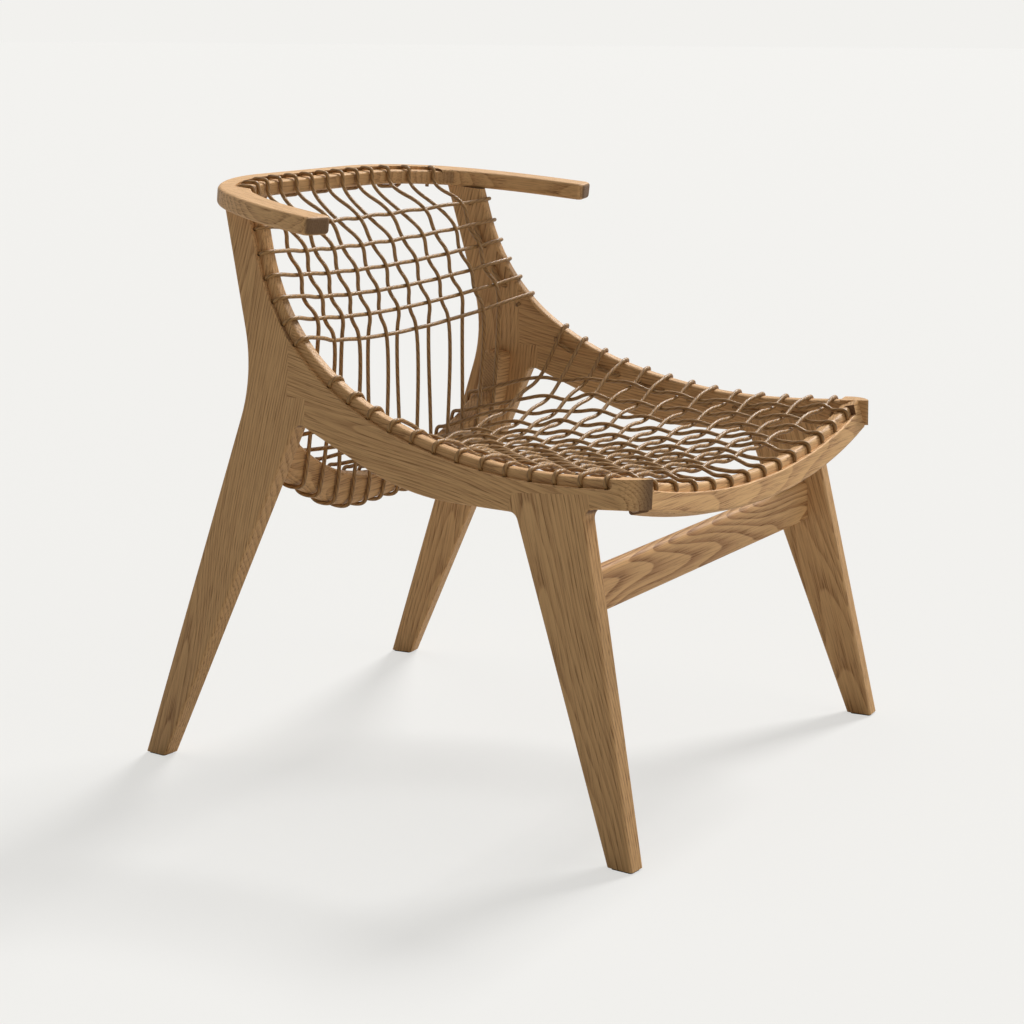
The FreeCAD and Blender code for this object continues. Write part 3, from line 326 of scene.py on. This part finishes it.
toe, lean = math.tan(math.radians(toe_in_angle)), math.tan(math.radians(lean_in_angle))
inward, forth = Vector((1, -toe, -lean)).normalized(), Vector((toe, 1, 0)).normalized()
side_place = drawing(forth, inward.cross(forth), inward, (toe * stance_setback - half_stance, 0, 0))
front_place = leaning(front_lean_angle, front_setback, front_height)
crescent_place = leaning(crescent_lean_angle, crescent_setback, crescent_height, -1)
slope = heading(crest_slope_angle)
crest_place = drawing((1, 0, 0), (0, slope.x, slope.y), (0, -slope.y, slope.x),
                      (0, arm_tip_setback, arm_tip_height))


def ledge_point(distance, height):
    """Point of a plank's drawing at a distance along its ledge, raised square to it, and its angle."""
    radius, turn = side_bends[0]
    tilt, bend = math.radians(turn), radius * math.tan(math.radians(turn / 2))
    level_run = nose_reach - dip_reach - bend
    angle, step = -turn, min(distance, level_run / math.cos(tilt) - bend)
    place = Vector((-nose_reach, dip_height + level_run * math.tan(tilt), 0)) + heading(angle) * step
    distance -= step
    for radius, turn in side_bends:
        part = min(math.degrees(distance / radius), turn)
        centre = place + heading(angle + 90) * radius
        angle += part
        place = centre + heading(angle - 90) * radius
        distance -= radius * math.radians(part)
    return place + heading(angle) * distance + heading(angle + 90) * height, angle


def row_place(row):
    """Distance along the ledge of a row of holes."""
    if row < seat_rows:
        return row_start + row * row_pitch
    last = row_start + (seat_rows - 1) * row_pitch
    share = knee_gap_share + back_rows_share * (row - seat_rows) / (back_rows - 1)
    return last + (crest_distance - last) * share


def row_point(row, depth, height):
    """Point at a row: depth in from the plank's outer face, height above its ledge."""
    place = ledge_point(row_place(row), height)[0]
    return side_place @ Vector((place.x, place.y, depth))


def across(points):
    """The same points on the other side."""
    return [Vector((-point.x, point.y, point.z)) for point in points]


def row_edge(row):
    """Where a cross cord leaves the bead on the sitter's left."""
    return across([row_point(row, plank_thickness - bead_round, bead_height + lift)])[0]


def row_sag(row):
    """How far the middle of a cross cord lies from the line between its beads."""
    edge, first, last = row_edge(row), row_edge(0).y, row_edge(seat_rows - 1).y
    if row < seat_rows:
        fall = (web_front_height - web_rear_height) * (edge.y - first) / (last - first)
        drop = edge.z - web_front_height + fall
        return Vector((0, (corner_drift_share if row == seat_rows - 1 else web_drift_share) * drop, -drop))
    index = row - seat_rows
    return Vector((0, back_pull * back_pull_shares[index], -back_sink * back_sink_shares[index]))


def column_reach(row, column):
    """Distance from the middle at which a long cord crosses a row."""
    edge, first = row_edge(row), row_edge(0).y
    if row < seat_rows:
        share = (edge.y - first) / (crescent_setback - first)
        return column * (front_pitch + (rear_pitch - front_pitch) * share)
    share = (edge.z - crescent_height) / (arm_tip_height - crescent_height)
    return column * (rear_pitch + (crest_pitch - rear_pitch) * share)


def web_point(row, column):
    """Crossing of a long cord and a row, and the direction of the row there.

    A row hangs in a parabola; the seat's last rows are flatter in the middle and steeper at
    the sides, where the web turns up into the back.
    """
    edge, sag, reach = row_edge(row), row_sag(row), column_reach(row, column)
    corner = row - seat_rows + len(corner_knee_shares)
    if corner < 0 or row >= seat_rows:
        left, rate = 1 - (reach / edge.x) ** 2, -2 * reach / edge.x ** 2
    else:
        knee, wide = corner_knee_shares[corner], column_reach(row, column_half)
        left = 1 - knee * abs(reach / wide) ** corner_power
        steep = corner_power * knee * abs(reach / wide) ** (corner_power - 1) / wide
        rate = -math.copysign(steep, reach)
    return Vector((reach, edge.y, edge.z)) + sag * left, Vector((1, 0, 0)) + sag * rate


def crossing(row, column, cross_cord):
    """Control point of the cross cord or the long cord where they meet, off the web to its side.

    The two share two cord widths, of which the smooth curve keeps one, and take turns on top.
    """
    share = seat_cross_share if row < seat_rows else back_cross_share
    if not cross_cord:
        share -= 1
    place, slant = web_point(row, column)
    ahead = Vector((0, 1, 0))
    if row >= seat_rows:
        ahead = web_point(min(row + 1, seat_rows + back_rows - 1), column)[0]
        ahead = ahead - web_point(max(row - 1, seat_rows), column)[0]
    over = 1 if (row + column) % 2 else -1
    return place + slant.cross(ahead).normalized() * (4 * cord_radius * share * over)


def wrapped(foot, width, height):
    """Points (depth, height) of a cord that leaves its hole and climbs over a bead."""
    wall, behind, within = foot - lift - cord_gap, width + loop_reach, 10.0
    slant = hole_fall / (width - foot)
    low = hole_rise - slant * (wall - foot)
    return [(behind, hole_rise - slant * (behind - foot)), (wall + within, low - within * slant), (wall, low),
            (wall + 1.4, height + lift - 0.6), (width - 3.0, height + lift + 0.5)]


def cross_run(row):
    """Control points of one cross cord, from its loop on the near side to the far side."""
    near = [row_point(row, depth, level) for depth, level in wrapped(bead_foot, plank_thickness, bead_height)]
    web = [crossing(row, column, True) for column in columns]
    near.append(near[-1].lerp(web[0], 0.3))
    return near + web + across(near)[::-1]


def laced(runs):
    """Runs joined end to end by loops, each with a point half way between two holes."""
    route = []
    for step, run in enumerate(runs):
        run = run[::-1] if step % 2 else run
        if route:
            route.append(route[-1].lerp(run[0], 0.5))
        route += run
    return route


def crescent_over(reach):
    """Level of a cord in the crescent's hollow, an arc with straight flanks."""
    turn = math.radians(hollow_angle)
    radius = hollow_half / math.sin(turn)
    if abs(reach) < hollow_half:
        turn = math.asin(abs(reach) / radius)
        return radius * (1 - math.cos(turn)) + lift / math.cos(turn)
    return radius * (1 - 1 / math.cos(turn)) + abs(reach) * math.tan(turn) + lift / math.cos(turn)


def crescent_under(reach):
    """Level of a cord on the crescent's underside, flat in the middle and bent up at both ends."""
    turn = math.radians(under_angle)
    beyond = abs(reach) - under_half + under_radius * math.tan(turn / 2)
    if beyond < under_radius * math.sin(turn):
        turn = math.asin(max(beyond, 0) / under_radius)
        level = under_radius * (1 - math.cos(turn))
    else:
        level = (abs(reach) - under_half) * math.tan(turn)
    return level - crescent_depth - lift / math.cos(turn)


def crest_point(column, inset, level):
    """Point at a column of the crest, square to its inner edge."""
    reach, back = column * crest_pitch, crest_reach / slope.x
    beyond, radius = abs(reach) - crest_bend_half, crest_radius - inset
    if beyond <= 0:
        return crest_place @ Vector((reach, back - inset, level))
    turn = math.asin(beyond / (crest_radius - crest_width))
    return crest_place @ Vector((math.copysign(crest_bend_half + radius * math.sin(turn), reach),
                                 back - crest_radius + radius * math.cos(turn), level))


def long_run(column):
    """Control points of one long cord, from behind the front rail to under the crest.

    It goes over the front rail's bead, along the seat, down behind the crescent, under it and
    up in front, along the back, then over the crest's bead and down through its hole.
    """
    reach = column * front_pitch
    sag = front_radius - math.sqrt(front_radius ** 2 - reach ** 2)
    route = [front_place @ Vector((reach, sag + level, depth))
             for depth, level in wrapped(front_ledge_width, front_thickness, front_bead_height)]
    seat = [crossing(row, column, False) for row in range(seat_rows)]
    route += [route[-1].lerp(seat[0], 0.4)] + seat
    middle_way = column * rear_pitch
    rear, front, far = middle_way - wrap_half, middle_way + wrap_half, crescent_thickness + lift + wrap_gap
    over, under = crescent_over(rear), crescent_under(front)
    turn = [(rear, over + 2.6, far - 12), (rear, over + 0.5, far), (rear, over - 12, far),
            (rear, crescent_under(rear) - 0.4, far), (middle_way, under + 2.4, 1 - lift),
            (front, under + 20, -lift - cord_gap), (front, crescent_over(front), -lift - 1.0)]
    route += [crescent_place @ Vector(place) for place in turn]
    route += [crossing(row, column, False) for row in range(seat_rows, seat_rows + back_rows)]
    head = [(40.5, -21), (40.5, 0.6), (30, 1.0), (21.5, 0.2), (21.5, -11), (21.5, -24.4)]
    return route + [crest_point(column, inset, level) for inset, level in head]


def tube(name, route, replaced):
    """Round tube round the smooth curve of a list of control points, with UV round and along it.

    A ring of points stands square to the curve at each of its points. The first ring's direction
    is carried along with the least turn, so that the tube doesn't twist.
    """
    curve = bpy.data.curves.new(name + "_route", "CURVE")
    curve.dimensions, curve.resolution_u = "3D", 8
    spline = curve.splines.new("NURBS")
    spline.points.add(len(route) - 1)
    places = np.array(route) + (0, shift_forward, 0)
    spline.points.foreach_set("co", np.c_[places / 1000, np.ones(len(route))].ravel())
    spline.order_u, spline.use_endpoint_u = 3, True
    holder = bpy.data.objects.new(name + "_route", curve)
    line = bpy.data.meshes.new_from_object(holder)
    path = np.empty(3 * len(line.vertices))
    line.vertices.foreach_get("co", path)
    path = path.reshape(-1, 3)
    bpy.data.objects.remove(holder)
    path = path[np.r_[True, np.linalg.norm(np.diff(path, axis=0), axis=1) > 1e-6]]
    ahead = np.gradient(path, axis=0)
    ahead /= np.linalg.norm(ahead, axis=1)[:, None]
    normal = np.empty_like(path)
    normal[0] = np.cross(ahead[0], (0.3, 0.5, 0.8))
    for index in range(1, len(path)):
        last = normal[index - 1]
        normal[index] = last - ahead[index] * last.dot(ahead[index])
    normal /= np.linalg.norm(normal, axis=1)[:, None]
    other = np.cross(ahead, normal)
    around = np.linspace(0, 2 * np.pi, cord_sides + 1)[:-1]
    ring = np.cos(around)[:, None] * normal[:, None] + np.sin(around)[:, None] * other[:, None]
    points = path[:, None] + ring * (cord_radius / 1000)
    count, sides = len(path), cord_sides
    index = np.arange(count * sides).reshape(count, sides)
    after = np.roll(index, -1, 1)
    quads = np.stack([index[:-1], after[:-1], after[1:], index[1:]], -1).reshape(-1, 4)
    caps = [index[0, ::-1].tolist(), index[-1].tolist()]
    mesh = bpy.data.meshes.new(name)
    mesh.from_pydata(points.reshape(-1, 3).tolist(), [], quads.tolist() + caps)
    along = np.r_[0, np.cumsum(np.linalg.norm(np.diff(path, axis=0), axis=1))]
    turn = np.broadcast_to(np.arange(sides) / sides, (count - 1, sides))
    low, high = [np.broadcast_to(part[:, None], (count - 1, sides)) for part in (along[:-1], along[1:])]
    marks = np.stack([turn, low, turn + 1 / sides, low, turn + 1 / sides, high, turn, high], -1).ravel()
    layer = mesh.uv_layers.new(name="cord")
    layer.data.foreach_set("uv", np.r_[marks, np.zeros(4 * sides)])
    mesh.polygons.foreach_set("use_smooth", np.ones(len(mesh.polygons), bool))
    mesh.materials.append(cord.material)
    made = bpy.data.objects.new(name, mesh)
    bpy.context.scene.collection.objects.link(made)
    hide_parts(replaced)
    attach(made, "root")


# Tan cord of three strands with a turn every 11 mm; the grooves between them are sunk by the bump and
# darkened with painted shade.
cord_light, cord_dark, groove_painted_shade = (0.450, 0.258, 0.098), (0.250, 0.127, 0.040), (0.060, 0.027, 0.010)
strands, lay = 3, 0.011
cord = Finish("tan_cord")
mark = cord.node("ShaderNodeTexCoord", output="UV")
round_it, along_it = (cord.along(mark, axis) for axis in ((1, 0, 0), (0, 1, 0)))
strand = (round_it * strands + along_it / lay).math("FRACT")
groove = (strand - 0.5).math("ABSOLUTE").step(0.30, 0.50)
grit = cord.noise(cord.place, 900.0, 2.0)
patch = cord.noise(cord.place, 28.0, 2.0)
hue = cord.mix(patch * 0.6 + grit * 0.4, cord_light, cord_dark)
# The dark colour in the grooves is painted shade, standing in for the strands shading each other.
cord.surface(Base_Color=cord.mix(groove * 0.60, hue, groove_painted_shade), Roughness=0.42,
             Specular_IOR_Level=0.30)
cord.bump(grit * 0.3 - groove, 0.0004, 0.6)

# The cross cords start on the far side, and each next run goes back the other way.
cross_runs = [cross_run(row)[::-1] for row in range(seat_rows + back_rows)]
tube("seat_cross_lacing", laced(cross_runs[:seat_rows]), "seat_cross_cord")
tube("back_cross_lacing", laced(cross_runs[seat_rows:]), "back_cross_cord")
tube("long_lacing", laced([long_run(column) for column in columns]), "long_cord")


# Floor, light and camera: a pale floor that keeps the shadow, a soft lamp from the
# sitter's left with two faint ones, and a camera at the photograph's height and angle.
# What the camera sees of floor and backdrop is bright, but lights the chair only a little.
backdrop_pale, backdrop_light = (0.888, 0.880, 0.855), 0.19
floor_pale, floor_glow, glow_share = (0.540, 0.536, 0.524), (1.0, 0.991, 0.962), 0.62
floor_half, floor_points = 60.0, 5

span = np.linspace(-floor_half, floor_half, floor_points)
wide, deep = np.meshgrid(span, span)
index = np.arange(wide.size).reshape(wide.shape)
squares = np.stack([index[:-1, :-1], index[:-1, 1:], index[1:, 1:], index[1:, :-1]], -1).reshape(-1, 4)
ground = bpy.data.meshes.new("floor")
ground.from_pydata(np.stack([wide, deep, 0 * wide], -1).reshape(-1, 3).tolist(), [], squares.tolist())
floor = bpy.data.objects.new("floor", ground)
bpy.context.scene.collection.objects.link(floor)
paper = Finish("pale_floor")
paper.surface(Base_Color=(*floor_pale, 1), Roughness=0.95)
seen = paper.node("ShaderNodeLightPath", output="Is Camera Ray")
glow = paper.node("ShaderNodeEmission", None, [(*floor_glow, 1), 1.0])
plain = Field(paper, paper.shader.outputs[0])
both = paper.node("ShaderNodeMixShader", None, [seen * glow_share, plain, glow])
paper.tree.links.new(both.socket, paper.tree.nodes["Material Output"].inputs["Surface"])
floor.data.materials.append(paper.material)

world = bpy.data.worlds.new("studio")
bpy.context.scene.world = world
world.use_nodes = True
sky = world.node_tree
ray = sky.nodes.new("ShaderNodeLightPath")
direct = ray.outputs["Is Camera Ray"]
for kind in ("Is Glossy Ray", "Is Transmission Ray"):
    either = sky.nodes.new("ShaderNodeMath")
    either.operation = "MAXIMUM"
    sky.links.new(direct, either.inputs[0])
    sky.links.new(ray.outputs[kind], either.inputs[1])
    direct = either.outputs[0]
level = sky.nodes.new("ShaderNodeMapRange")
level.inputs["To Min"].default_value = backdrop_light
level.inputs["To Max"].default_value = 1.0
sky.links.new(direct, level.inputs["Value"])
sky.nodes["Background"].inputs["Color"].default_value = (*backdrop_pale, 1)
sky.links.new(level.outputs[0], sky.nodes["Background"].inputs["Strength"])


def lamp(name, direction, strength, spread_degrees):
    """Distant lamp that shines from a direction, as wide as an angle."""
    light = bpy.data.lights.new(name, "SUN")
    light.energy, light.angle = strength, math.radians(spread_degrees)
    made = bpy.data.objects.new(name, light)
    made.rotation_mode = "QUATERNION"
    made.rotation_quaternion = Vector(direction).to_track_quat("Z", "Y")
    bpy.context.scene.collection.objects.link(made)


lamp("key", (1.0, -0.08, 1.05), 3.6, 16)
lamp("top", (0.1, 0.3, 1.0), 0.5, 40)
lamp("fill", (0.1, -1.0, 0.35), 0.45, 40)

tilt_down, turned = 12.22, 59.05
lens = bpy.data.cameras.new("camera")
lens.sensor_width, lens.lens = 36.0, 80.26
eye = bpy.data.objects.new("camera", lens)
eye.location = (-2.230, -1.3545 + shift_forward / 1000, 0.8385)
eye.rotation_euler = Euler((math.radians(90 - tilt_down), 0, math.radians(-turned)))
bpy.context.scene.collection.objects.link(eye)
bpy.context.scene.camera = eye
bpy.context.scene.view_settings.view_transform = "Standard"
